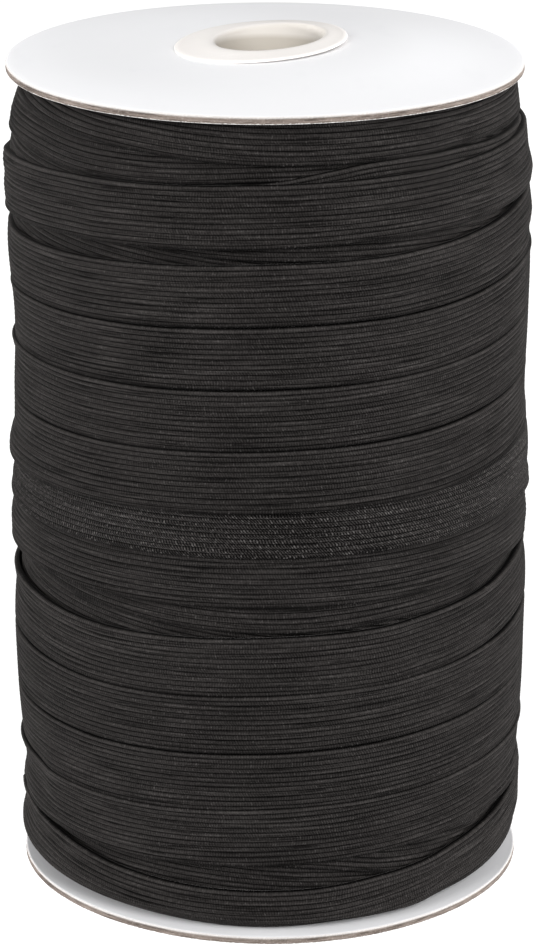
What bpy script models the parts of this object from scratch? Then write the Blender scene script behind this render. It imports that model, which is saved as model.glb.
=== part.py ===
"""A roll of flat ribbed elastic on its spool.

The spool is a flared tube with a card disc at each end, and the elastic is wound on it
in overlapping turns that climb the tube. The model stands on the lower end of the tube:
+Z is up, the origin is under the axis on the surface it stands on, and -Y is the front.
All sizes are in metres.
"""

import math

import bmesh
import bpy

# Spool
GAP = 0.0003  # left between pieces that touch
FLANGE_RADIUS = 0.0420
FLANGE_THICKNESS = 0.00125
FLANGE_HEIGHT = 0.1375  # underside of the lower disc to the top disc's upper face
FLANGE_EDGE_ROUNDING = 0.00025
FLANGE_HOLE_CLEARANCE = 0.0012
TOP_FLANGE_TILT = 0.048  # radians, the top disc's back stands higher than its front
TOP_FLANGE_DOME = 0.0013  # rise of the top disc from its rim to its middle
LOWER_FLANGE_SHIFT = 0.0008  # the lower disc sits this far to +X
FLANGE_SIDES = 64

# Tube with a flared collar at each end
TUBE_RADIUS = 0.0100
BORE_RADIUS = 0.0080
COLLAR_RADIUS = 0.0140
COLLAR_THICKNESS = 0.0007
TOP_COLLAR_LEAN = 0.055  # radians, the top collar's right side stands higher
TUBE_SIDES = 48

# Flare of the bore below a collar's face: distance from the face, and radius
FLARE = (
    # below,  radius
    (0.0000, 0.0105),
    (0.0003, 0.0093),
    (0.0012, 0.0086),
    (0.0026, 0.0082),
)

# Wound elastic
TURN_PITCH = 0.0100  # climb of one turn
TURN_STEP = 0.0006  # how far a turn's top edge stands proud of the turn above it
TURN_CROWN = 0.0003  # swell of a turn between its edges
EDGE_SHARE = 0.2  # share of the pitch over which the step falls away
WINDING_SIDES = 56
WINDING_ROWS = 46
LEVEL_HEIGHT = 0.040  # turns below this height lie level, above it they take on the tilt

# Outline of the wound pack: height above the base, radius, and shift of its middle to +X
PACK_OUTLINE = (
    # height, radius, shift
    (0.0025, 0.0379, 0.0000),
    (0.0050, 0.0407, 0.0002),
    (0.0090, 0.0418, 0.0005),
    (0.0200, 0.0420, 0.0006),
    (0.0420, 0.0425, 0.0006),
    (0.0600, 0.0427, 0.0007),
    (0.0760, 0.0426, 0.0005),
    (0.0920, 0.0422, 0.0007),
    (0.1050, 0.0425, 0.0006),
    (0.1190, 0.0428, 0.0003),
    (0.1270, 0.0420, 0.0003),
    (0.1330, 0.0409, 0.0003),
    (0.1380, 0.0402, 0.0000),
)

# Heights that follow from the sizes above
LOWER_DISC_BASE = COLLAR_THICKNESS + GAP
TOP_DISC_FACE = LOWER_DISC_BASE + FLANGE_HEIGHT
DOME_UNDER_COLLAR = TOP_FLANGE_DOME * (1 - (TUBE_RADIUS / FLANGE_RADIUS) ** 2)
TOP_COLLAR_BASE = (
    TOP_DISC_FACE + DOME_UNDER_COLLAR + GAP + COLLAR_RADIUS * TOP_COLLAR_LEAN
)

WHITE_CARD = (0.87, 0.87, 0.88, 1.0)
CREAM_PLASTIC = (0.82, 0.79, 0.74, 1.0)
BLACK_ELASTIC = (0.022, 0.020, 0.019, 1.0)


def clear_scene():
    for existing in list(bpy.data.objects):
        bpy.data.objects.remove(existing, do_unlink=True)


def principled(name, color, roughness):
    material = bpy.data.materials.new(name)
    material.use_nodes = True
    shader = material.node_tree.nodes["Principled BSDF"]
    shader.inputs["Base Color"].default_value = color
    shader.inputs["Roughness"].default_value = roughness
    shader.inputs["Metallic"].default_value = 0.0
    return material


def add_object(name, mesh, collection, material):
    mesh.materials.append(material)
    mesh.shade_smooth()
    mesh.set_sharp_from_angle(angle=math.radians(35))
    added = bpy.data.objects.new(name, mesh)
    collection.objects.link(added)
    return added


def interpolate(rows, height, column):
    """A table's column at a height, straight between the rows."""
    for low, high in zip(rows, rows[1:]):
        if height <= high[0]:
            share = max(0.0, (height - low[0]) / (high[0] - low[0]))
            return low[column] + share * (high[column] - low[column])
    return rows[-1][column]


def ring(radius, height_at, sides, shift=0.0):
    """Points round the axis, each at the height that height_at(x, y) gives."""
    points = []
    for k in range(sides):
        angle = 2 * math.pi * k / sides
        this_radius = radius(angle) if callable(radius) else radius
        x = shift + this_radius * math.cos(angle)
        y = this_radius * math.sin(angle)
        points.append((x, y, height_at(x, y)))
    return points


def closed_loft(name, rings):
    """Skin rings that run up the outer side and down the inner side, back to the first."""
    mesh = bpy.data.meshes.new(name)
    work = bmesh.new()
    levels = [[work.verts.new(point) for point in points] for points in rings]
    for lower, upper in zip(levels, levels[1:] + levels[:1]):
        for k in range(len(lower)):
            after = (k + 1) % len(lower)
            work.faces.new((lower[k], lower[after], upper[after], upper[k]))
    work.to_mesh(mesh)
    work.free()
    return mesh


def disc_profile(dome):
    """Half section of a card disc, from the hole along its upper face and back below."""
    hole = TUBE_RADIUS + FLANGE_HOLE_CLEARANCE
    rim = FLANGE_RADIUS
    rounding = FLANGE_EDGE_ROUNDING

    def crown(radius):
        return dome * (1 - (radius / FLANGE_RADIUS) ** 2)

    middle = (hole + rim) / 2
    upper = [hole, middle, rim - rounding]
    points = [(radius, crown(radius)) for radius in upper]
    points.append((rim, -rounding))
    points.append((rim, rounding - FLANGE_THICKNESS))
    points += [(radius, crown(radius) - FLANGE_THICKNESS) for radius in reversed(upper)]
    return points


def make_disc(name, collection, material, face_height, dome, tilt, shift):
    """A card disc turned from its half section, tilted about the front-to-back line."""
    profile = disc_profile(dome)
    edges = [(k, (k + 1) % len(profile)) for k in range(len(profile))]
    mesh = bpy.data.meshes.new(name)
    mesh.from_pydata([(radius, 0.0, height) for radius, height in profile], edges, [])
    disc = add_object(name, mesh, collection, material)
    turn = disc.modifiers.new("Turn", "SCREW")
    turn.axis = "Z"
    turn.angle = 2 * math.pi
    turn.steps = FLANGE_SIDES
    turn.render_steps = FLANGE_SIDES
    turn.use_merge_vertices = True
    turn.merge_threshold = 0.00001
    disc.location.x = shift
    disc.location.z = face_height
    disc.rotation_euler.x = tilt
    return disc


def make_core(collection, material):
    """The tube and its two collars, one skin that runs up outside and down the bore."""

    def level(height):
        return lambda x, y: height

    def top_end(height):
        return lambda x, y: height + TOP_FLANGE_TILT * y + TOP_COLLAR_LEAN * x

    edge = COLLAR_THICKNESS / 3
    top_face = TOP_COLLAR_BASE + COLLAR_THICKNESS
    rings = [
        (FLARE[0][1], level(0.0)),
        (COLLAR_RADIUS - edge, level(0.0)),
        (COLLAR_RADIUS, level(edge)),
        (COLLAR_RADIUS, level(COLLAR_THICKNESS)),
        (TUBE_RADIUS, level(COLLAR_THICKNESS)),
        (TUBE_RADIUS, top_end(TOP_COLLAR_BASE)),
        (COLLAR_RADIUS, top_end(TOP_COLLAR_BASE)),
        (COLLAR_RADIUS, top_end(top_face - edge)),
        (COLLAR_RADIUS - edge, top_end(top_face)),
    ]
    rings += [(radius, top_end(top_face - below)) for below, radius in FLARE]
    flare_end = FLARE[-1][0] + (FLARE[-1][0] - FLARE[-2][0])
    rings.append((BORE_RADIUS, top_end(top_face - flare_end)))
    rings.append((BORE_RADIUS, level(flare_end)))
    rings += [(radius, level(below)) for below, radius in reversed(FLARE[1:])]
    mesh = closed_loft(
        "core", [ring(radius, height, TUBE_SIDES) for radius, height in rings]
    )
    return add_object("core", mesh, collection, material)


def turn_relief(angle, height):
    """Height of the turns' relief: each turn leans out towards its top edge."""
    front_angle = angle + math.pi / 2  # measured from -Y
    place = (height / TURN_PITCH - front_angle / (2 * math.pi)) % 1.0
    body = 1.0 - EDGE_SHARE
    if place < body:
        along = place / body
        return TURN_STEP * (along - 0.5) + TURN_CROWN * math.sin(math.pi * along)
    return TURN_STEP * (0.5 - (place - body) / EDGE_SHARE)


def make_winding(collection, material):
    """The wound pack as one ring-shaped solid: its outline, its tilt and its main turns."""
    bottom = LOWER_DISC_BASE + FLANGE_THICKNESS + GAP
    top = TOP_DISC_FACE - FLANGE_THICKNESS - GAP
    inner_radius = TUBE_RADIUS + GAP

    def tilted(height):
        share = max(0.0, (height - LEVEL_HEIGHT) / (top - LEVEL_HEIGHT))
        return lambda x, y: height + share * TOP_FLANGE_TILT * y

    rings = []
    for row in range(WINDING_ROWS + 1):
        height = bottom + (top - bottom) * row / WINDING_ROWS
        outline = interpolate(PACK_OUTLINE, height, 1)
        shift = interpolate(PACK_OUTLINE, height, 2)
        inside = 0 < row < WINDING_ROWS

        def radius(angle, outline=outline, height=height, inside=inside):
            return outline + (turn_relief(angle, height) if inside else 0.0)

        rings.append(ring(radius, tilted(height), WINDING_SIDES, shift))
    rings.append(ring(inner_radius, tilted(top), WINDING_SIDES))
    rings.append(ring(inner_radius, tilted(bottom), WINDING_SIDES))
    return add_object("winding", closed_loft("winding", rings), collection, material)


def main():
    clear_scene()
    collection = bpy.data.collections.new("roll_of_elastic")
    bpy.context.scene.collection.children.link(collection)
    lower_face = LOWER_DISC_BASE + FLANGE_THICKNESS
    make_disc(
        "flange_bottom",
        collection,
        principled("card_bottom", WHITE_CARD, 0.8),
        lower_face,
        0.0,
        0.0,
        LOWER_FLANGE_SHIFT,
    )
    make_disc(
        "flange_top",
        collection,
        principled("card_top", WHITE_CARD, 0.8),
        TOP_DISC_FACE,
        TOP_FLANGE_DOME,
        TOP_FLANGE_TILT,
        0.0,
    )
    make_core(collection, principled("cream_plastic", CREAM_PLASTIC, 0.45))
    make_winding(collection, principled("black_elastic", BLACK_ELASTIC, 0.75))


main()
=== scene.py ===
"""Roll of black ribbed elastic on a card spool: the looks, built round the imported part.

Sizes in the tables are in millimetres and angles in degrees. A place on the roll is given by its
angle round the axis (0 at the front, growing to the right) and its height. The elastic is laid
band by band on a map of what already lies there, so each band rides over the ones below it.
"""

import math

import bpy
import numpy as np
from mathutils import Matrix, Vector


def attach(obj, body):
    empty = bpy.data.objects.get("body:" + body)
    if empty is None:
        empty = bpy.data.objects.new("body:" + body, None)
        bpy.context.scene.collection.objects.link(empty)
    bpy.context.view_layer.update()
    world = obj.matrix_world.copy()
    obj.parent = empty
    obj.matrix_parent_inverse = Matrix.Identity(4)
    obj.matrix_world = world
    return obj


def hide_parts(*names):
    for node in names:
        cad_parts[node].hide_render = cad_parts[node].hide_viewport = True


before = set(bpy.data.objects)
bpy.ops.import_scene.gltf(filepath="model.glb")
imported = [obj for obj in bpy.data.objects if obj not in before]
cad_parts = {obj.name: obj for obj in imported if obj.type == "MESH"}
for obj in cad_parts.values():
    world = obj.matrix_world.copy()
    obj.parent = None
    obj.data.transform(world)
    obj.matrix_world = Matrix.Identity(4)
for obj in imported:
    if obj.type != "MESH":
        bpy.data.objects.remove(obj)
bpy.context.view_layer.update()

MM = 0.001

# ---------------------------------------------------------------- sizes, millimetres
FLANGE_RADIUS = 42.0
FLANGE_THICKNESS = 1.25
TOP_FACE = 138.5
LOWER_FACE = 2.25
TOP_TILT = 0.048  # radians, the top disc's back stands higher than its front
TOP_DOME = 2.15  # the top disc bulges up round the tube
HUB_LEAN = 0.055  # radians, the bulge's right side stands higher
LOWER_SHIFT = 0.85  # the lower disc sits this far to +X
HOLE_RADIUS = 11.2
FLANGE_SIDES = 288
THROAT_SHIFT = 0.85  # the tube's throat sits this far to +X
PACK_RADIUS = 42.0  # nominal radius of the wound pack
PACK_TOP_RADIUS = 40.0  # its radius where it meets the tilted top disc

# Outline of the wound pack: height, radius, and shift of its middle to +X
PACK_OUTLINE = (
    # height, radius, shift
    (0.0, 41.0, 0.0),
    (5.0, 41.7, 0.2),
    (12.0, 41.6, 1.0),
    (20.0, 41.9, 0.9),
    (34.0, 42.6, 0.8),
    (48.0, 42.75, 0.75),
    (55.0, 42.6, 0.95),
    (60.0, 42.35, 0.7),
    (63.5, 42.75, 0.6),
    (67.0, 42.45, 0.65),
    (71.0, 42.95, 0.75),
    (83.0, 42.35, 0.75),
    (97.0, 42.25, 1.0),
    (110.0, 42.8, 0.6),
    (119.0, 42.45, 0.5),
    (125.0, 42.1, 0.5),
    (130.0, 41.35, 0.25),
    (135.0, 40.5, 0.2),
    (142.0, 39.9, 0.0),
)
LOWER_CORNER = 4.5  # radius of the bend towards the lower disc
UPPER_CORNER = 2.5
CORNER_CLEARANCE = 0.35
LOWER_LIFT = 0.62  # beside the front the lowest turn curls in this much higher
LOWER_LIFT_ANGLE = 27.0

# Elastic
BAND_WIDTH = 9.9
CORDS = 12
CORD_SEGMENTS = 6
CORD_RELIEF = 0.34
BAND_THICKNESS = 0.62
EDGE_ROUNDING = 0.32
EDGE_THICKNESS = 0.34  # share of the thickness left at a band's edge
BACK_POINTS = 9
STEPS = 160  # steps in a turn
ROW = 0.1  # spacing of the map's rows
ROW_LOW = -12.0
ROW_HIGH = 152.0
DRAPE_RADIUS = 2.5  # how tightly a band bends across its width
SINK = 0.32  # how far an edge below presses into the band over it
GAP_DEPTH = 0.60  # how much deeper the bands between the turns lie
CORD_SQUARENESS = 2.2  # power of the cords' rounding
EDGE_RELIEF = 0.3  # share of the relief left at a band's edge
RESTING_SHARE = 0.6  # share of the relief that the next band rests on
SOFT_REACH = 0.8  # how far a band bridges the dips below it
DRAPE_SMOOTHING = 0.3
STEP_SMOOTHING = 1.4  # steps over which a band eases up and down along its length
LEVEL_REACH = 4.0  # the pack's level is averaged over this much height
LEVEL_STEPS = 7.0  # and over this many steps round the pack


# ---------------------------------------------------------------- helpers
def curve(knots, at):
    """A smooth curve through the knots (x, y), read at an array of x."""
    x = np.array([k[0] for k in knots], float)
    y = np.array([k[1] for k in knots], float)
    slope = np.diff(y) / np.diff(x)
    width = np.diff(x)
    tangent = np.empty_like(y)
    tangent[0] = slope[0]
    tangent[-1] = slope[-1]
    before = width[:-1]
    after = width[1:]
    tangent[1:-1] = (slope[:-1] * after + slope[1:] * before) / (before + after)
    at = np.clip(np.asarray(at, float), x[0], x[-1])
    k = np.clip(np.searchsorted(x, at, side="right") - 1, 0, len(x) - 2)
    h = width[k]
    t = (at - x[k]) / h
    return (
        y[k] * (1 + 2 * t) * (1 - t) ** 2
        + y[k + 1] * t * t * (3 - 2 * t)
        + h * tangent[k] * t * (1 - t) ** 2
        + h * tangent[k + 1] * t * t * (t - 1)
    )


def blur(values, sigma, axis, wrap=False):
    """Gaussian smoothing along an axis, the ends repeated or wrapped round."""
    reach = int(math.ceil(3 * sigma))
    weights = np.exp(-0.5 * (np.arange(-reach, reach + 1) / sigma) ** 2)
    weights /= weights.sum()
    pad = [(0, 0)] * values.ndim
    pad[axis] = (reach, reach)
    padded = np.pad(values, pad, mode="wrap" if wrap else "edge")
    size = values.shape[axis]
    out = np.zeros_like(values)
    for k, weight in enumerate(weights):
        part = [slice(None)] * values.ndim
        part[axis] = slice(k, k + size)
        out += weight * padded[tuple(part)]
    return out


def new_mesh(name, points, faces, materials, smooth=True):
    mesh = bpy.data.meshes.new(name)
    mesh.from_pydata([tuple(p) for p in points], [], faces)
    for material in materials:
        mesh.materials.append(material)
    if smooth:
        mesh.shade_smooth()
    made = bpy.data.objects.new(name, mesh)
    bpy.context.scene.collection.objects.link(made)
    return made


def set_uv(made, uv_of_loop):
    layer = made.data.uv_layers.new(name="weave")
    layer.data.foreach_set("uv", np.asarray(uv_of_loop, np.float32).ravel())


def set_point_uv(made, u, v):
    """Weave coordinates from one u and one v for each point, in the points' order."""
    corners = np.zeros(len(made.data.loops), np.int32)
    made.data.loops.foreach_get("vertex_index", corners)
    set_uv(made, np.stack([u.reshape(-1)[corners], v.reshape(-1)[corners]], axis=-1))


# ---------------------------------------------------------------- materials
class Graph:
    """Short names for building a node material."""

    def __init__(self, name):
        self.material = bpy.data.materials.new(name)
        self.material.use_nodes = True
        self.nodes = self.material.node_tree.nodes
        self.links = self.material.node_tree.links
        self.shader = self.nodes["Principled BSDF"]

    def plug(self, socket, value):
        if hasattr(value, "links"):
            self.links.new(value, socket)
        else:
            socket.default_value = value

    def math(self, operation, a, b=0.0, c=0.0, clamp=False):
        node = self.nodes.new("ShaderNodeMath")
        node.operation = operation
        node.use_clamp = clamp
        for socket, value in zip(node.inputs, (a, b, c)):
            self.plug(socket, value)
        return node.outputs[0]

    def span(self, value, low, high, to_low=0.0, to_high=1.0, smooth=False):
        node = self.nodes.new("ShaderNodeMapRange")
        node.interpolation_type = "SMOOTHSTEP" if smooth else "LINEAR"
        for name, v in (
            ("Value", value),
            ("From Min", low),
            ("From Max", high),
            ("To Min", to_low),
            ("To Max", to_high),
        ):
            self.plug(node.inputs[name], v)
        return node.outputs[0]

    def mix(self, share, a, b):
        node = self.nodes.new("ShaderNodeMix")
        node.data_type = "RGBA"
        self.plug(node.inputs[0], share)
        self.plug(node.inputs[6], a)
        self.plug(node.inputs[7], b)
        return node.outputs[2]

    def noise(self, vector, scale, detail=2.0, roughness=0.5):
        node = self.nodes.new("ShaderNodeTexNoise")
        self.plug(node.inputs["Vector"], vector)
        node.inputs["Scale"].default_value = scale
        node.inputs["Detail"].default_value = detail
        node.inputs["Roughness"].default_value = roughness
        return node.outputs[0]

    def weave(self):
        """The place along a band and the place across it."""
        node = self.nodes.new("ShaderNodeUVMap")
        node.uv_map = "weave"
        split = self.nodes.new("ShaderNodeSeparateXYZ")
        self.links.new(node.outputs[0], split.inputs[0])
        return split.outputs[0], split.outputs[1]

    def weave_noise(self, along, across, stretch, detail, roughness=0.5, scale=1.0):
        """Noise over the weave. stretch is its frequency along the band and across it."""
        u = self.math("MULTIPLY", along, stretch[0])
        v = self.math("MULTIPLY", across, stretch[1])
        return self.noise(self.joined(u, v), scale, detail, roughness)

    def place(self):
        return self.nodes.new("ShaderNodeTexCoord").outputs["Object"]

    def scaled(self, vector, x, y, z):
        node = self.nodes.new("ShaderNodeMapping")
        self.plug(node.inputs["Vector"], vector)
        node.inputs["Scale"].default_value = (x, y, z)
        return node.outputs[0]

    def joined(self, x, y, z=0.0):
        node = self.nodes.new("ShaderNodeCombineXYZ")
        for socket, value in zip(node.inputs, (x, y, z)):
            self.plug(socket, value)
        return node.outputs[0]

    def bump(self, height, distance, strength=1.0):
        node = self.nodes.new("ShaderNodeBump")
        node.inputs["Strength"].default_value = strength
        node.inputs["Distance"].default_value = distance
        self.plug(node.inputs["Height"], height)
        return node.outputs[0]


# Colours of the elastic, linear
# Painted shade: colour of the grooves between the cords
PAINTED_GROOVE_SHADE = (0.0006, 0.0005, 0.0005, 1.0)
# Painted shade on a band's outermost rim
PAINTED_RIM_SHADE = (0.0008, 0.0007, 0.0007, 1.0)
# Painted shade in the weave's hollows between the yarn ticks
YARN_HOLLOW_SHADE = (0.0072, 0.0066, 0.0063)
YARN_TOP = (0.0228, 0.0208, 0.0200)
# Painted glints: bright specks where the yarn would catch the light
PAINTED_GLINT_COLOR = (0.100, 0.094, 0.091, 1.0)
THREAD_PALE = (0.044, 0.0405, 0.039, 1.0)
THREAD_DARK = (0.0032, 0.0029, 0.0028, 1.0)
# Painted highlight on a band's top cord
PAINTED_TOP_CORD_HIGHLIGHT = (0.050, 0.046, 0.044, 1.0)
SHEEN_TINT = (0.95, 0.90, 0.88, 1.0)
COARSE_DARKER = 0.85  # the coarse weave's hollows lose this share
COARSE_LIGHTER = 0.62  # and its crests gain this one


def elastic_material(name, tick_length, slant, tick_strength, glint, coarseness, edged=True):
    """Braided elastic. The weave map holds millimetres along the band and cords across it.

    edged paints shade on the outermost rim of a band, and a painted highlight on its top cord.
    """
    g = Graph(name)
    along, across = g.weave()
    wander = g.weave_noise(along, across, (0.10, 0.6), 2.0)
    phase = g.math("MULTIPLY", along, 1.0 / tick_length)
    phase = g.math("ADD", phase, g.math("MULTIPLY", across, slant))
    phase = g.math("ADD", phase, g.math("MULTIPLY", wander, 3.0))
    tick = g.span(g.math("SINE", g.math("MULTIPLY", phase, 2 * math.pi)), -1.0, 1.0)
    cord_number = g.math("FLOOR", across)
    cord_place = g.joined(
        g.math("MULTIPLY", along, 0.035), g.math("MULTIPLY", cord_number, 1.7)
    )
    cord_tone = g.noise(cord_place, 1.0, 1.0)
    from_crest = g.math("ABSOLUTE", g.math("SUBTRACT", g.math("FRACT", across), 0.5))
    groove_edge = g.span(cord_tone, 0.3, 0.7, 0.26, 0.40)
    crest = g.span(from_crest, 0.5, groove_edge, 0.0, 1.0, True)
    patch = g.noise(g.place(), 70.0, 3.0)
    fuzz = g.weave_noise(along, across, (1.5, 1.6), 3.0, 0.7)
    thread = g.weave_noise(along, across, (0.10, 2.6), 2.0)

    darker = 1.0 - COARSE_DARKER * coarseness
    lighter = 1.0 + COARSE_LIGHTER * coarseness
    deep_shade = tuple(part * darker for part in YARN_HOLLOW_SHADE) + (1.0,)
    top = tuple(part * lighter for part in YARN_TOP) + (1.0,)
    seen_tick = g.span(g.noise(cord_place, 3.0, 1.0), 0.35, 0.65, 0.45, 0.85)
    seen_tick = g.math("MAXIMUM", seen_tick, coarseness)
    # Painted shade: between the ticks, where the weave dips, the colour goes to the hollow shade
    hollow_shade = g.math("MULTIPLY", seen_tick, g.math("SUBTRACT", 1.0, tick))
    yarn = g.math("SUBTRACT", 1.0, hollow_shade)
    color = g.mix(yarn, deep_shade, top)
    color = g.mix(g.span(thread, 0.56, 0.70, 0.0, 0.6), color, THREAD_PALE)
    color = g.mix(g.span(thread, 0.44, 0.32, 0.0, 0.8), color, THREAD_DARK)
    # Painted shade in the grooves: away from each cord's crest the colour goes to the groove shade
    color = g.mix(crest, PAINTED_GROOVE_SHADE, color)
    if edged:
        # Painted highlight: the band's top cord, which faces up to the light, is lightened
        highlight_cord = g.math(
            "MULTIPLY", g.span(across, 0.14, 0.24), g.span(across, 0.72, 0.50)
        )
        color = g.mix(g.math("MULTIPLY", highlight_cord, 0.25), color, PAINTED_TOP_CORD_HIGHLIGHT)
        # Painted shade on the band's outermost rim, where it meets the band beside it
        inside = g.math(
            "MULTIPLY", g.span(across, 0.04, 0.20), g.span(across, CORDS - 0.25, CORDS - 0.85)
        )
        color = g.mix(inside, PAINTED_RIM_SHADE, color)
    # Painted glints: sparse bright specks on the crests of the ticks
    glint_noise = g.weave_noise(along, across, (0.9, 0.8), 1.0, scale=1.9)
    glint_low = 0.60 - 0.05 * coarseness
    glint_high = 0.70 - 0.05 * coarseness
    painted_glint = g.span(glint_noise, glint_low, glint_high, 0.0, glint)
    painted_glint = g.math("MULTIPLY", painted_glint, g.math("MULTIPLY", crest, tick))
    color = g.mix(painted_glint, color, PAINTED_GLINT_COLOR)
    cord_shade = g.span(cord_tone, 0.25, 0.75, 0.82, 1.18)
    tone = g.math("MULTIPLY", cord_shade, g.span(patch, 0.3, 0.7, 0.95, 1.05))
    tone = g.math("MULTIPLY", tone, g.span(fuzz, 0.3, 0.7, 0.65, 1.35))
    value = g.nodes.new("ShaderNodeHueSaturation")
    g.plug(value.inputs["Value"], tone)
    g.plug(value.inputs["Color"], color)
    g.plug(g.shader.inputs["Base Color"], value.outputs[0])
    g.plug(g.shader.inputs["Roughness"], g.span(tick, 0.0, 1.0, 0.80, 0.62))
    g.shader.inputs["Specular IOR Level"].default_value = 0.02
    g.shader.inputs["Sheen Weight"].default_value = 0.052
    g.shader.inputs["Sheen Roughness"].default_value = 0.3
    g.shader.inputs["Sheen Tint"].default_value = SHEEN_TINT
    height = g.math("ADD", g.math("MULTIPLY", yarn, crest), g.math("MULTIPLY", fuzz, 0.8))
    g.plug(g.shader.inputs["Normal"], g.bump(height, tick_strength * MM))
    return g.material


PAPER_LIGHT = (0.90, 0.90, 0.915, 1.0)
PAPER_SHADED = (0.872, 0.872, 0.89, 1.0)
FIBRE_HEIGHT = 0.012


def paper_material(name, painted_light_gain):
    """White paper with soft clouds and fine fibres. The gain scales its colour: painted light,
    lightening or darkening a copy to make up for how much light its disc gets.
    """
    g = Graph(name)
    place = g.place()
    cloud = g.noise(place, 60.0, 4.0, 0.6)
    fibre = g.noise(g.scaled(place, 900.0, 500.0, 900.0), 1.0, 3.0, 0.6)
    scuff = g.noise(g.scaled(place, 240.0, 90.0, 200.0), 1.0, 2.0)
    clouds = g.span(cloud, 0.3, 0.7, 0.0, 0.55)
    scuffs = g.span(scuff, 0.6, 0.75, 0.0, 0.45)
    color = g.mix(g.math("ADD", clouds, scuffs, clamp=True), PAPER_LIGHT, PAPER_SHADED)
    gain = g.nodes.new("ShaderNodeHueSaturation")
    gain.inputs["Value"].default_value = painted_light_gain
    g.plug(gain.inputs["Color"], color)
    g.plug(g.shader.inputs["Base Color"], gain.outputs[0])
    g.plug(g.shader.inputs["Roughness"], g.span(cloud, 0.3, 0.7, 0.55, 0.68))
    g.shader.inputs["Specular IOR Level"].default_value = 0.3
    g.plug(g.shader.inputs["Normal"], g.bump(fibre, FIBRE_HEIGHT * MM, 0.5))
    return g.material


BOARD_DARK = (0.055, 0.042, 0.035, 1.0)
BOARD_LIGHT = (0.205, 0.168, 0.146, 1.0)
BOARD_PALE_STRETCH = (0.28, 0.235, 0.207, 1.0)
BOARD_DARK_STRETCH = (0.050, 0.038, 0.032, 1.0)
BOARD_PALE_SPECK = (0.42, 0.37, 0.335, 1.0)
BOARD_DARK_SPECK = (0.12, 0.095, 0.08, 1.0)
PAPER_EDGE = (0.72, 0.70, 0.685, 1.0)
BOARD_ROUGH_HEIGHT = 0.12


def board_material():
    """The cut edge of the card: white paper outside, grey-brown board between."""
    g = Graph("card_cut_edge")
    along, across = g.weave()
    streak = g.weave_noise(along, across, (0.35, 7.0), 3.0, 0.65)
    speck = g.weave_noise(along, across, (3.0, 5.0), 3.0, 0.6)
    stretch = g.weave_noise(along, across, (0.09, 1.2), 2.0)
    color = g.mix(g.span(streak, 0.36, 0.64), BOARD_DARK, BOARD_LIGHT)
    color = g.mix(g.span(stretch, 0.45, 0.68, 0.0, 0.5), color, BOARD_PALE_STRETCH)
    color = g.mix(g.span(stretch, 0.45, 0.30, 0.0, 0.55), color, BOARD_DARK_STRETCH)
    color = g.mix(g.span(speck, 0.55, 0.75, 0.0, 0.6), color, BOARD_PALE_SPECK)
    color = g.mix(g.span(speck, 0.42, 0.28, 0.0, 0.5), color, BOARD_DARK_SPECK)
    ragged = g.math("ADD", across, g.span(speck, 0.3, 0.7, -0.06, 0.06))
    top_paper = g.span(ragged, 0.04, 0.34, 0.85, 0.0)
    low_paper = g.span(ragged, 0.89, 0.93, 0.0, 1.0)
    color = g.mix(g.math("MAXIMUM", top_paper, low_paper), color, PAPER_EDGE)
    g.plug(g.shader.inputs["Base Color"], color)
    g.plug(g.shader.inputs["Roughness"], g.span(speck, 0.3, 0.7, 0.8, 0.95))
    g.shader.inputs["Specular IOR Level"].default_value = 0.2
    rough = g.math("ADD", streak, speck)
    g.plug(g.shader.inputs["Normal"], g.bump(rough, BOARD_ROUGH_HEIGHT * MM, 0.7))
    return g.material


PLASTIC_LIGHT = (0.86, 0.83, 0.805, 1.0)
PLASTIC_SHADED = (0.83, 0.795, 0.765, 1.0)
PLASTIC_FLOW = (0.80, 0.77, 0.75, 1.0)
# Painted shade in the tube's bore: darker and warmer than the plastic
BORE_SHADE_COLOR = (0.41, 0.372, 0.318, 1.0)
BORE_RIM = 0.0095  # metres from the throat's axis where the bore's painted shade begins
BORE_WALL = 0.0088
BORE_REACH = 0.0090
DEEP_START = 0.1420  # height in metres below which painted shade darkens the bore
DEEP_END = 0.1400
PLASTIC_ROUGH_HEIGHT = 0.05


def tube_material():
    """Cream plastic, its bore painted darker and warmer: painted shade, warmed as light bounced
    round the bore would warm it.
    """
    g = Graph("cream_plastic")
    place = g.place()
    cloud = g.noise(place, 90.0, 3.0, 0.55)
    flow = g.noise(g.scaled(place, 160.0, 420.0, 160.0), 1.0, 2.0)
    color = g.mix(g.span(cloud, 0.3, 0.7), PLASTIC_LIGHT, PLASTIC_SHADED)
    color = g.mix(g.span(flow, 0.6, 0.8, 0.0, 0.35), color, PLASTIC_FLOW)
    split = g.nodes.new("ShaderNodeSeparateXYZ")
    g.links.new(place, split.inputs[0])
    side = g.math("SUBTRACT", split.outputs[0], THROAT_SHIFT * MM)
    side_squared = g.math("POWER", side, 2.0)
    depth_squared = g.math("POWER", split.outputs[1], 2.0)
    radius = g.math("SQRT", g.math("ADD", side_squared, depth_squared))
    # Painted shade in the bore: it darkens inside the throat's rim and further down
    below = g.span(split.outputs[2], DEEP_START, DEEP_END, 0.0, 1.0)
    deep_shade = g.math("MULTIPLY", below, g.math("LESS_THAN", radius, BORE_REACH))
    painted_bore_shade = g.math("MAXIMUM", deep_shade, g.span(radius, BORE_RIM, BORE_WALL, 0.0, 0.58))
    color = g.mix(g.math("MULTIPLY", painted_bore_shade, 0.9), color, BORE_SHADE_COLOR)
    g.plug(g.shader.inputs["Base Color"], color)
    g.plug(g.shader.inputs["Roughness"], g.span(flow, 0.3, 0.7, 0.55, 0.68))
    g.shader.inputs["Specular IOR Level"].default_value = 0.4
    rough = g.math("ADD", flow, cloud)
    g.plug(g.shader.inputs["Normal"], g.bump(rough, PLASTIC_ROUGH_HEIGHT * MM, 0.5))
    return g.material


# ---------------------------------------------------------------- guide surface of the pack
LOWER_WARP = 0.75  # the lower disc's sides and back stand this much over its front
LOWER_WARP_ANGLE = 42.0


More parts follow.
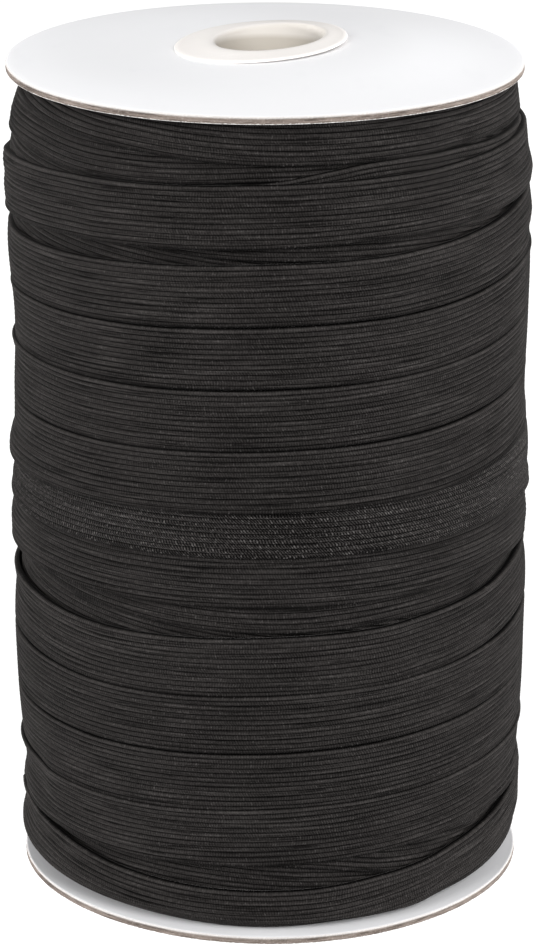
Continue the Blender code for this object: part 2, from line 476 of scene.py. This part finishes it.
def beside_front(angle, spread):
    """0 at the front, and nearly 1 well past an angle of spread on either side."""
    from_front = (np.asarray(angle, float) + 180.0) % 360.0 - 180.0
    return 1 - np.exp(-((from_front / spread) ** 2))


def lower_warp(angle):
    """Rise of the lower disc at an angle in degrees."""
    return LOWER_WARP * beside_front(angle, LOWER_WARP_ANGLE)


def outline(height):
    return curve([(row[0], row[1]) for row in PACK_OUTLINE], height)


def shift(height):
    return curve([(row[0], row[2]) for row in PACK_OUTLINE], height)


def corner(past, radius):
    """Bend, and run towards the axis, of the surface once it is past a disc's corner."""
    bend = np.clip(past / radius, 0.0, math.pi / 2)
    inward = radius * (1 - np.cos(bend)) + np.maximum(0.0, past - radius * math.pi / 2)
    return bend, inward


def guide(angle, distance, rise):
    """Point for an angle, a distance up the guide and a rise above it. Arrays, millimetres."""
    turn = np.radians(angle)
    tilt_drop = TOP_TILT * PACK_TOP_RADIUS * np.cos(turn)
    ceiling = TOP_FACE - FLANGE_THICKNESS - tilt_drop - CORNER_CLEARANCE
    lift = LOWER_LIFT * beside_front(angle, LOWER_LIFT_ANGLE)
    floor = LOWER_FACE + CORNER_CLEARANCE + lower_warp(angle) + lift
    over = distance - (ceiling - UPPER_CORNER)
    under = (floor + LOWER_CORNER) - distance
    bend_up, inward_up = corner(over, UPPER_CORNER)
    bend_down, inward_down = corner(under, LOWER_CORNER)
    top_bend = ceiling - UPPER_CORNER + UPPER_CORNER * np.sin(bend_up)
    low_bend = floor + LOWER_CORNER - LOWER_CORNER * np.sin(bend_down)
    height = np.where(over > 0, top_bend, distance)
    height = np.where(under > 0, low_bend, height)
    lean = bend_up - bend_down
    radius = outline(height) - (inward_up + inward_down) + rise * np.cos(lean)
    height = height + rise * np.sin(lean)
    x = shift(height) * (radius / PACK_RADIUS) + radius * np.sin(turn)
    y = -radius * np.cos(turn)
    return np.stack([x, y, height], axis=-1) * MM


# ---------------------------------------------------------------- laying the bands
ROWS = np.arange(ROW_LOW, ROW_HIGH, ROW)
laid = np.zeros((STEPS, len(ROWS)))
EDGE_GRID = np.linspace(0.0, 1.0, CORDS * CORD_SEGMENTS + 1)


def across_profile(width):
    """Thickness of a band and the relief of its cords at the points across it."""
    from_edge = np.minimum(EDGE_GRID, 1 - EDGE_GRID) * width
    round_off = np.clip(from_edge / EDGE_ROUNDING, 0.0, 1.0)
    body = EDGE_THICKNESS + (1 - EDGE_THICKNESS) * np.sqrt(1 - (1 - round_off) ** 2)
    in_cord = (EDGE_GRID * CORDS) % 1.0
    relief = 1 - np.abs(2 * in_cord - 1) ** CORD_SQUARENESS
    return BAND_THICKNESS * body, CORD_RELIEF * relief * np.clip(round_off + EDGE_RELIEF, 0, 1)


def drape(below):
    """Underside of a band over what lies below it, both on rows across the band."""
    reach = int(DRAPE_RADIUS / ROW)
    nothing = -9.0
    padded = np.pad(below, reach, constant_values=nothing)
    lifted = below.copy()
    for k in range(-reach, reach + 1):
        drop = (k * ROW) ** 2 / (2 * DRAPE_RADIUS)
        lifted = np.maximum(lifted, padded[reach + k : reach + k + len(below)] - drop)
    soft = blur(below, SOFT_REACH / ROW, 0)
    return blur(np.maximum(lifted - SINK, soft), DRAPE_SMOOTHING / ROW, 0)


def lay(top_edge, start, end, width=BAND_WIDTH):
    """Lay a band from angle start down to angle end and return its steps."""
    first = int(round(start * STEPS / 360))
    last = int(round(end * STEPS / 360))
    turns = np.arange(first, last - 1, -1)
    tops = curve(top_edge, turns * 360.0 / STEPS)
    thickness, _ = across_profile(width)
    undersides = np.zeros((len(turns), len(EDGE_GRID)))
    for k, turn in enumerate(turns):
        column = turn % STEPS
        low = int((tops[k] - width - ROW_LOW) / ROW)
        high = int((tops[k] - ROW_LOW) / ROW) + 1
        rows = ROWS[low:high]
        underside = drape(laid[column, low:high])
        places = tops[k] - EDGE_GRID * width
        undersides[k] = np.interp(places, rows, underside)
        resting = undersides[k] + thickness + CORD_RELIEF * RESTING_SHARE
        outer = np.interp(rows, places[::-1], resting[::-1])
        laid[column, low:high] = np.maximum(laid[column, low:high], outer)
    undersides = blur(undersides, STEP_SMOOTHING, 0)
    return {"turns": turns, "tops": tops, "width": width, "undersides": undersides}


def join(*parts):
    """One strip from parts that follow on from each other."""
    return {
        "turns": np.concatenate([p["turns"] for p in parts]),
        "tops": np.concatenate([p["tops"] for p in parts]),
        "width": parts[0]["width"],
        "undersides": np.concatenate([p["undersides"] for p in parts]),
    }


def settled(columns, distances):
    """The pack's smoothed level, taken off so that its outline keeps the measured radius."""
    exact = (distances - ROW_LOW) / ROW
    low = np.clip(exact.astype(int), 0, len(ROWS) - 2)
    share = exact - low
    return smooth_level[columns, low] * (1 - share) + smooth_level[columns, low + 1] * share


def band_mesh(name, strip, material):
    """A closed band: cords outside, plain underside, and two end caps."""
    turns = strip["turns"]
    width = strip["width"]
    thickness, relief = across_profile(width)
    angles = turns * 360.0 / STEPS
    columns = turns % STEPS
    outer_at = strip["tops"][:, None] - EDGE_GRID[None, :] * width
    outer_rise = strip["undersides"] + thickness + relief
    back_pick = np.linspace(len(EDGE_GRID) - 1, 0, BACK_POINTS).astype(int)
    back_at = outer_at[:, back_pick]
    back_rise = strip["undersides"][:, back_pick]
    where = np.concatenate([outer_at, back_at], axis=1)
    rise = np.concatenate([outer_rise, back_rise], axis=1)
    rise = rise - settled(columns[:, None], where)
    points = guide(angles[:, None], where, rise)
    ring_size = where.shape[1]
    count = len(turns)
    i, j = np.meshgrid(np.arange(count - 1), np.arange(ring_size), indexing="ij")
    after = (j + 1) % ring_size
    a = i * ring_size + j
    b = i * ring_size + after
    faces = np.stack([a, b, b + ring_size, a + ring_size], axis=-1).reshape(-1, 4)
    face_list = faces.tolist()
    face_list.append(list(range(ring_size))[::-1])
    face_list.append([(count - 1) * ring_size + k for k in range(ring_size)])
    made = new_mesh(name, points.reshape(-1, 3), face_list, [material])
    cord = np.concatenate([EDGE_GRID * CORDS, (EDGE_GRID * CORDS)[back_pick]])
    length = -turns * (2 * math.pi * PACK_RADIUS / STEPS)
    u = np.repeat(length[:, None], ring_size, axis=1)
    v = np.repeat(cord[None, :], count, axis=0)
    set_point_uv(made, u, v)
    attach(made, "root")
    return made


def turns_of(rows):
    """One curve through rows (turn, five heights at the angles FRONT_ANGLES)."""
    knots = []
    for turn, heights in rows:
        for angle, height in zip(FRONT_ANGLES, heights):
            knots.append((angle - 360 * turn, height))
    return sorted(knots)


FRONT_ANGLES = (-75, -40, 0, 40, 75)

# Top edge of each turn across the front, as (turn down the roll, heights at FRONT_ANGLES)
UPPER_TURNS = (
    (0, (124.6, 125.3, 126.0, 126.9, 128.3)),
    (1, (112.6, 112.7, 113.7, 114.9, 117.8)),
    (2, (102.7, 102.8, 103.7, 104.9, 108.0)),
    (3, (93.3, 93.0, 93.7, 95.3, 98.0)),
    (4, (83.3, 83.2, 84.0, 85.2, 88.0)),
)
LOWER_TURNS = (
    (6, (68.6, 68.0, 68.2, 68.6, 69.6)),
    (7, (54.0, 52.7, 53.5, 54.9, 58.3)),
    (8, (43.4, 43.0, 43.9, 45.3, 47.2)),
    (9, (33.1, 33.0, 34.0, 35.3, 37.2)),
    (10, (23.9, 23.5, 24.5, 25.8, 27.5)),
)

# Places of the single bands and the strips' ends: angle, height of the top edge

# Where the upper strip goes on above turn 0: round the back and under the top disc
FIRST_TURN = (
    (130, 131.4), (180, 134.2), (230, 136.6), (274, 137.5), (285, 137.3),
    (300, 136.6), (315, 135.5), (330, 135.2), (360, 136.0), (400, 136.6),
)

# The last turn, which turns back up at its left end, and the tail beyond it
LAST_TURN = (
    (-180, 20.0), (-150, 19.5), (-120, 17.8), (-95, 15.5), (-75, 13.9), (-60, 13.0),
    (-45, 11.8), (-30, 10.8), (-15, 10.2), (0, 10.1), (15, 10.5), (30, 11.8), (45, 13.3),
    (60, 15.0), (75, 16.9), (130, 19.2), (200, 21.6),
)

# Bands that show between the turns
UNDER_DISC = (
    (-130, 149.0), (-100, 146.8), (-78, 145.0), (-72, 144.0), (-60, 142.5), (-45, 141.0),
    (-30, 140.0), (-15, 139.1), (0, 138.6), (20, 138.6), (40, 139.0), (75, 140.0),
    (130, 142.5), (180, 144.5), (230, 147.0),
)
UNDER_FIRST = (
    (-40, 125.2), (-20, 125.6), (-5, 125.9), (3, 126.5), (10, 127.4), (15, 128.0),
    (20, 128.6), (30, 129.1), (45, 129.1), (60, 129.0), (75, 129.3), (100, 129.2),
    (130, 129.0), (170, 129.0), (200, 130.6), (230, 133.2), (262, 136.4),
)
GAP_ONE_UPPER = (
    (-90, 127.2), (-60, 126.3), (-42, 125.6), (-30, 125.2), (-15, 124.2), (0, 123.8),
    (15, 123.6), (40, 123.2), (100, 122.5),
)
GAP_ONE_LOWER = ((-110, 124.6), (30, 114.6))
GAP_TWO_UPPER = (
    (-110, 70.0), (-90, 68.6), (-70, 67.5), (-60, 66.9), (-45, 65.8), (-30, 64.8),
    (-15, 64.1), (0, 63.8), (15, 64.0), (30, 64.5), (45, 65.1), (60, 66.2), (75, 68.0),
    (100, 68.6),
)
GAP_TWO_LOWER = ((-110, 64.8), (30, 54.4))
GAP_THREE_UPPER = (
    (-60, 26.6), (-30, 25.2), (-15, 24.3), (0, 23.9), (15, 22.7), (25, 21.4), (40, 20.4),
    (90, 20.0),
)
GAP_THREE_LOWER = ((-110, 18.2), (-75, 17.2), (-45, 16.2), (-15, 15.4), (40, 12.6))
GAP_NOTCH = ((-120, 133.4), (-75, 131.0), (-40, 128.6), (-10, 126.6))
COARSE_TURN = (
    (-200, 84.9), (-180, 84.0), (-160, 82.2), (-130, 79.3), (-100, 77.3), (-75, 76.4),
    (-40, 76.2), (0, 76.4), (40, 76.8), (75, 77.8), (130, 78.6), (180, 79.8), (230, 81.4),
    (262, 82.4),
)
UNDER_FIRST_WIDTH = 9.6

# Beyond its last turn across the front the upper strip climbs and ends under itself
UPPER_TAIL = ((-110, 83.3), (-130, 83.6), (-180, 84.8), (-230, 86.6), (-265, 88.4))

STEP = 360 / STEPS
UPPER_LAST = -360 * 4  # angle of the front on the upper strip's last turn
LOWER_FIRST = -360 * 6  # and on the lower strip's first and last turns
LOWER_LAST = -360 * 11
UPPER_START = 400
UPPER_SWITCH = 270  # the strip's first stretch, up to here, is laid early and lies below
UPPER_TAIL_SWITCH = UPPER_LAST - 101.25
UPPER_END = UPPER_LAST - 265
LOWER_START = LOWER_FIRST + 260
LOWER_SWITCH = LOWER_FIRST - 180  # the coarse turn lies over the strip's first stretch
LOWER_TAIL_SWITCH = LOWER_LAST - 90
LOWER_END = LOWER_LAST - 180


def lay_everything():
    """Lay the bands from the bottom layer up. The order is how the roll shows them."""
    strips = {}
    strips["gap_one_lower"] = lay(GAP_ONE_LOWER, 30, -110)
    strips["gap_one_upper"] = lay(GAP_ONE_UPPER, 100, -90)
    strips["gap_two_lower"] = lay(GAP_TWO_LOWER, 30, -110)
    strips["gap_two_upper"] = lay(GAP_TWO_UPPER, 85, -110)
    strips["gap_three_lower"] = lay(GAP_THREE_LOWER, 40, -110)
    strips["gap_three_upper"] = lay(GAP_THREE_UPPER, 90, -60)
    strips["gap_notch"] = lay(GAP_NOTCH, -10, -120)

    upper_end = [(angle + UPPER_LAST, height) for angle, height in UPPER_TAIL]
    upper_knots = sorted(turns_of(UPPER_TURNS) + upper_end) + list(FIRST_TURN)
    first_part = lay(upper_knots, UPPER_START, UPPER_SWITCH)
    strips["under_disc"] = lay(UNDER_DISC, 230, -130)
    strips["under_first"] = lay(UNDER_FIRST, 262, -40, UNDER_FIRST_WIDTH)

    lower_end = [(angle + LOWER_LAST, height) for angle, height in LAST_TURN]
    lower_knots = sorted(turns_of(LOWER_TURNS) + lower_end)
    lower_tail = lay(lower_knots, LOWER_TAIL_SWITCH, LOWER_END)
    lower_first = lay(lower_knots, LOWER_START, LOWER_SWITCH)
    strips["coarse_turn"] = lay(COARSE_TURN, 262, -200)
    upper_tail = lay(upper_knots, UPPER_TAIL_SWITCH, UPPER_END)
    upper_main = lay(upper_knots, UPPER_SWITCH - STEP, UPPER_TAIL_SWITCH + STEP)
    strips["upper_turns"] = join(first_part, upper_main, upper_tail)
    lower_main = lay(lower_knots, LOWER_SWITCH - STEP, LOWER_TAIL_SWITCH + STEP)
    strips["lower_turns"] = join(lower_first, lower_main, lower_tail)
    return strips


strips = lay_everything()
for strip_name, strip in strips.items():
    if strip_name.startswith("gap") and strip_name != "gap_notch":
        strip["undersides"] = strip["undersides"] - GAP_DEPTH
smooth_level = blur(blur(laid, LEVEL_REACH / ROW, 1), LEVEL_STEPS, 0, wrap=True)

FINE_WEAVE = {
    "tick_length": 0.44,
    "slant": 0.55,
    "tick_strength": 0.10,
    "glint": 0.24,
    "coarseness": 0.0,
}
COARSE_WEAVE = {
    "tick_length": 0.48,
    "slant": 1.4,
    "tick_strength": 0.20,
    "glint": 0.9,
    "coarseness": 1.0,
}
fine = elastic_material("black_elastic_fine", **FINE_WEAVE)
under = elastic_material("black_elastic_under", edged=False, **FINE_WEAVE)
coarse = elastic_material("black_elastic_coarse", **COARSE_WEAVE)

for strip_name, strip in strips.items():
    weave = coarse if strip_name == "coarse_turn" else fine
    made = band_mesh("elastic_" + strip_name, strip, weave)
    if strip_name == "upper_turns":
        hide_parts("winding")


# ---------------------------------------------------------------- the mass under the bands
MASS_SIDES = 120
MASS_ROWS = 180
MASS_LOW = -3.0
MASS_HIGH = 141.0
MASS_HOLE_RADIUS = 10.8
MASS_DEPTH = 0.15  # how far it lies below the bands' bed
MASS_RIB = 0.12  # half the height of its ribs
MASS_RIB_PITCH = 0.82
MASS_CLIMB = 0.0745  # climb of its ribs, millimetres for a degree


def make_mass():
    """The wound mass below the bands that show, a closed ring round the tube."""
    heights = np.linspace(MASS_LOW, MASS_HIGH, MASS_ROWS)
    angles = np.arange(MASS_SIDES) * 360.0 / MASS_SIDES
    columns = (np.arange(MASS_SIDES) * STEPS // MASS_SIDES) % STEPS
    climbed = heights[None, :] + angles[:, None] * MASS_CLIMB
    ribs = MASS_RIB * np.sin(2 * math.pi * climbed / MASS_RIB_PITCH)
    where = np.repeat(heights[None, :], MASS_SIDES, axis=0)
    rise = ribs - MASS_DEPTH - settled(columns[:, None], where)
    outer = guide(angles[:, None], where, rise)
    turn = np.radians(angles)
    hole_x = MASS_HOLE_RADIUS * MM * np.sin(turn)
    hole_y = -MASS_HOLE_RADIUS * MM * np.cos(turn)
    inner_top = np.stack([hole_x, hole_y, outer[:, -1, 2]], axis=-1)
    inner_low = np.stack([hole_x, hole_y, outer[:, 0, 2]], axis=-1)
    rings = np.concatenate([outer, inner_top[:, None], inner_low[:, None]], axis=1)
    size = rings.shape[1]
    i, j = np.meshgrid(np.arange(MASS_SIDES), np.arange(size), indexing="ij")
    next_i = (i + 1) % MASS_SIDES
    next_j = (j + 1) % size
    faces = np.stack(
        [i * size + j, next_i * size + j, next_i * size + next_j, i * size + next_j], axis=-1
    )
    face_list = faces.reshape(-1, 4).tolist()
    made = new_mesh("elastic_mass", rings.reshape(-1, 3), face_list, [under])
    u = np.repeat((angles * math.pi / 180 * PACK_RADIUS)[:, None], size, axis=1)
    climb = angles[:, None] * MASS_CLIMB
    v = np.concatenate([where + climb, where[:, :2]], axis=1) / MASS_RIB_PITCH
    set_point_uv(made, u, v)
    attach(made, "root")


make_mass()


# ---------------------------------------------------------------- card discs
DISC_RADII = (HOLE_RADIUS, 14.0, 20.0, 26.0, 32.0, 37.0, 40.5, 41.6)

# Steps down a disc's cut edge
CUT_EDGE = (
    # depth, inset
    (0.0, 0.14),
    (0.06, 0.04),
    (0.16, 0.0),
    (0.40, 0.02),
    (0.66, 0.03),
    (0.92, 0.02),
    (1.05, -0.02),
    (1.17, 0.0),
    (1.25, 0.12),
)
BOARD_FROM = 0.1  # depths between which the edge is board and not paper
BOARD_TO = 1.1
PAPER_RIPPLE = 0.3  # share of the board's ripple on the paper
LOWER_LIFT_SHARE = 0.3  # the lower disc waves this much of what the top one does
SWELL_FOOT = 36.0  # radius where the swell round the hub begins
SWELL_RUN = 22.0  # radial run over which it rises to its full height


def turned(name, profile_at, sides, materials, material_of, uv_of):
    """A closed turned piece. profile_at(angle) gives its section as (radius, height) rows."""
    rings = []
    for k in range(sides):
        angle = 2 * math.pi * k / sides
        rows = profile_at(angle)
        rings.append([(r * math.sin(angle), -r * math.cos(angle), z) for r, z in rows])
    size = len(rings[0])
    points = [p for ring in rings for p in ring]
    arc = 2 * math.pi * FLANGE_RADIUS / sides
    faces = []
    uv = []
    for k in range(sides):
        after = (k + 1) % sides
        for j in range(size):
            up = (j + 1) % size
            faces.append((k * size + j, after * size + j, after * size + up, k * size + up))
            low = uv_of(j)
            high = uv_of(j + 1)
            uv += [(k * arc, low), ((k + 1) * arc, low), ((k + 1) * arc, high), (k * arc, high)]
    made = new_mesh(name, np.array(points) * MM, faces, materials)
    pick = [material_of(j) for _ in range(sides) for j in range(size)]
    made.data.polygons.foreach_set("material_index", pick)
    set_uv(made, uv)
    return made


def wave(angle, *terms):
    """Sum of a few slow waves round the rim: each term is (count, size, phase)."""
    return sum(size * math.sin(count * angle + phase) for count, size, phase in terms)


def make_flange(name, face, dome, tilt, phase, aside, node, paper):
    """A card disc: paper faces, and a cut edge in steps of paper and board."""

    def raised(radius, angle):
        share = radius / FLANGE_RADIUS
        near_hub = min(max((SWELL_FOOT - radius) / SWELL_RUN, 0.0), 1.0)
        near_hub = near_hub * near_hub * (3 - 2 * near_hub)
        lean = HUB_LEAN * radius * math.sin(angle) if dome else 0.0
        return dome * (1 - share**2) + lean * near_hub

    def section(angle):
        rim = FLANGE_RADIUS + wave(angle, (2, 0.06, phase), (5, 0.03, 2 * phase), (17, 0.012, 1.0))
        ripple = wave(angle, (37, 0.012, phase), (61, 0.010, 0.4), (97, 0.008, 2.1))
        lift = wave(angle, (2, 0.07, phase + 1.0), (3, 0.05, phase))
        if not dome:
            lift = LOWER_LIFT_SHARE * lift + float(lower_warp(math.degrees(angle)))
        rows = []
        for radius in DISC_RADII:
            bent = lift * (radius / FLANGE_RADIUS) ** 3
            rows.append((radius, face + raised(radius, angle) + bent))
        for depth, inset in CUT_EDGE:
            rough = ripple if BOARD_FROM < depth < BOARD_TO else PAPER_RIPPLE * ripple
            rows.append((rim - inset + rough, face + lift - depth))
        for radius in reversed(DISC_RADII):
            low = raised(radius, angle) + lift * (radius / FLANGE_RADIUS) ** 3
            rows.append((radius, face - FLANGE_THICKNESS + low))
        return rows

    first_edge = len(DISC_RADII)

    def material_of(j):
        return 1 if first_edge <= j < first_edge + len(CUT_EDGE) - 1 else 0

    def uv_of(j):
        place = min(max(j - first_edge, 0), len(CUT_EDGE) - 1)
        return CUT_EDGE[place][0] / FLANGE_THICKNESS

    made = turned(name, section, FLANGE_SIDES, [paper, board], material_of, uv_of)
    for vertex in made.data.vertices:
        vertex.co.x += aside * MM
    if tilt:
        pivot = Vector((0, 0, TOP_FACE * MM))
        c = math.cos(tilt)
        s = math.sin(tilt)
        for vertex in made.data.vertices:
            p = vertex.co - pivot
            vertex.co = pivot + Vector((p.x, c * p.y - s * p.z, s * p.y + c * p.z))
    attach(made, "root")
    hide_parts(node)


board = board_material()
make_flange(
    "card_top",
    face=TOP_FACE,
    dome=TOP_DOME,
    tilt=TOP_TILT,
    phase=0.7,
    aside=0.0,
    node="flange_top",
    paper=paper_material("white_paper_top", 0.99),
)
make_flange(
    "card_bottom",
    face=LOWER_FACE,
    dome=0.0,
    tilt=0.0,
    phase=2.3,
    aside=LOWER_SHIFT,
    node="flange_bottom",
    # Painted light: the lower disc's paper is a lighter copy, making up for the light the roll
    # keeps off it
    paper=paper_material("white_paper_lower_painted_light", 1.07),
)

# ---------------------------------------------------------------- tube with flared collars
COLLAR_LEAN = 0.072  # radians, right side higher
COLLAR_TILT = 0.063  # radians, back higher
COLLAR_BASE = 140.75  # height of the collar's rim at its middle
COLLAR_SHIFT = -0.7

# Section of the upper collar, from its rim in over the swell and down the throat
COLLAR_SECTION = (
    # radius, height over the rim's underside
    (14.00, 0.12),
    (14.02, 0.26),
    (13.86, 0.40),
    (13.20, 0.47),
    (12.20, 0.58),
    (11.20, 0.72),
    (10.30, 0.84),
    (9.60, 0.90),
    (9.15, 0.86),
    (8.85, 0.66),
    (8.70, 0.30),
    (8.55, -0.30),
    (8.35, -1.20),
    (8.15, -2.40),
    (8.00, -4.00),
)

# The tube's wall and the underside of the upper collar, heights as in COLLAR_SECTION
UPPER_NECK = ((9.9, -3.0), (9.9, -1.3), (11.0, -0.08), (13.7, -0.05))
NECK_ROWS_ON_AXIS = 2  # its first rows stay on the tube's axis

# Lower end of the bore, the lower collar and the tube's wall over it
LOWER_SECTION = (
    # radius, height
    (8.0, 4.5),
    (8.05, 3.0),
    (8.3, 1.6),
    (8.9, 0.5),
    (9.6, 0.12),
    (10.4, 0.0),
    (12.0, 0.0),
    (13.7, 0.0),
    (13.95, 0.15),
    (14.0, 0.4),
    (13.9, 0.65),
    (13.6, 0.7),
    (11.0, 0.72),
    (9.9, 0.75),
    (9.9, 3.0),
)
TUBE_SIDES = 144
THROAT_RADIUS = 8.4  # out to here the section is centred on the throat
COLLAR_RUN = 5.0  # radial run over which its middle moves to the collar's


def make_tube():
    """The tube and its two collars, one skin round the wall and through the bore."""
    points = []
    for k in range(TUBE_SIDES):
        angle = 2 * math.pi * k / TUBE_SIDES
        sine = math.sin(angle)
        cosine = math.cos(angle)
        swell = wave(angle, (2, 0.05, 0.5), (3, 0.04, 1.9))
        rows = [(radius * sine, -radius * cosine, height) for radius, height in LOWER_SECTION]
        for n, (radius, height) in enumerate(UPPER_NECK + COLLAR_SECTION):
            share = min(max((radius - THROAT_RADIUS) / COLLAR_RUN, 0.0), 1.0)
            middle = THROAT_SHIFT * (1 - share) + COLLAR_SHIFT * share
            if n < NECK_ROWS_ON_AXIS:
                middle = 0.0
            x = middle + radius * sine
            y = -radius * cosine
            base = COLLAR_BASE + COLLAR_TILT * y + COLLAR_LEAN * x
            rows.append((x, y, base + height + swell * share))
        points.append(rows)
    size = len(points[0])
    faces = []
    for k in range(TUBE_SIDES):
        after = (k + 1) % TUBE_SIDES
        for j in range(size):
            up = (j + 1) % size
            faces.append((k * size + j, k * size + up, after * size + up, after * size + j))
    flat = np.array([p for rows in points for p in rows]) * MM
    made = new_mesh("tube", flat, faces, [tube_material()])
    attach(made, "root")
    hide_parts("core")


make_tube()


# ---------------------------------------------------------------- floor, light and camera, metres
FLOOR_HALF = 3.0
FLOOR_DARK = (0.30, 0.30, 0.30, 1.0)
FLOOR_LIGHT = (0.31, 0.31, 0.31, 1.0)
FLOOR_GLOW = 0.90
WHITE = (1.0, 1.0, 1.0, 1.0)
WORLD_STRENGTH = 0.44

LIGHTS = (
    # name, place, target, size, power
    ("key", (1.0, -1.9, 1.30), (0.0, 0.0, 0.08), 1.1, 42.5),
    ("fill", (-1.3, -1.9, 1.05), (0.0, 0.0, 0.08), 1.2, 32.5),
    ("left_side", (-1.8, 0.25, 0.09), (0.0, 0.0, 0.07), 0.25, 33.0),
    ("right_side", (1.8, 0.25, 0.09), (0.0, 0.0, 0.07), 0.25, 38.0),
)

CAMERA_PLACE = (0.0, -0.5859, 0.2414)
CAMERA_PITCH = 73.52
CAMERA_YAW = -0.039
CAMERA_LENS = 138.86


def make_floor():
    """A plain pale floor with a little light of its own."""
    g = Graph("pale_floor")
    cloud = g.noise(g.place(), 2.0, 2.0)
    g.plug(g.shader.inputs["Base Color"], g.mix(cloud, FLOOR_DARK, FLOOR_LIGHT))
    g.shader.inputs["Roughness"].default_value = 1.0
    g.shader.inputs["Specular IOR Level"].default_value = 0.0
    g.shader.inputs["Emission Color"].default_value = WHITE
    g.shader.inputs["Emission Strength"].default_value = FLOOR_GLOW
    half = FLOOR_HALF
    corners = [(-half, -half, 0.0), (half, -half, 0.0), (half, half, 0.0), (-half, half, 0.0)]
    made = new_mesh("floor", corners, [(0, 1, 2, 3)], [g.material], smooth=False)


def make_light(name, place, target, size, power):
    """A round area light at a place, facing a target."""
    light = bpy.data.lights.new(name, "AREA")
    light.shape = "DISK"
    light.size = size
    light.energy = power
    made = bpy.data.objects.new(name, light)
    made.location = place
    aim = Vector(target) - Vector(place)
    made.rotation_euler = aim.to_track_quat("-Z", "Y").to_euler()
    bpy.context.scene.collection.objects.link(made)


def make_world(strength):
    """Even white light from all round."""
    world = bpy.data.worlds.new("studio")
    world.use_nodes = True
    background = world.node_tree.nodes["Background"]
    background.inputs["Color"].default_value = WHITE
    background.inputs["Strength"].default_value = strength
    bpy.context.scene.world = world


def make_camera():
    """The camera in front of the roll and a little above it."""
    camera = bpy.data.cameras.new("camera")
    camera.lens = CAMERA_LENS
    camera.sensor_width = 36.0
    camera.clip_start = 0.01
    camera.clip_end = 20.0
    made = bpy.data.objects.new("camera", camera)
    made.location = CAMERA_PLACE
    made.rotation_euler = (math.radians(CAMERA_PITCH), 0.0, math.radians(CAMERA_YAW))
    bpy.context.scene.collection.objects.link(made)
    bpy.context.scene.camera = made


make_floor()
make_world(WORLD_STRENGTH)
for light_row in LIGHTS:
    make_light(*light_row)
make_camera()
bpy.context.scene.view_settings.view_transform = "Standard"
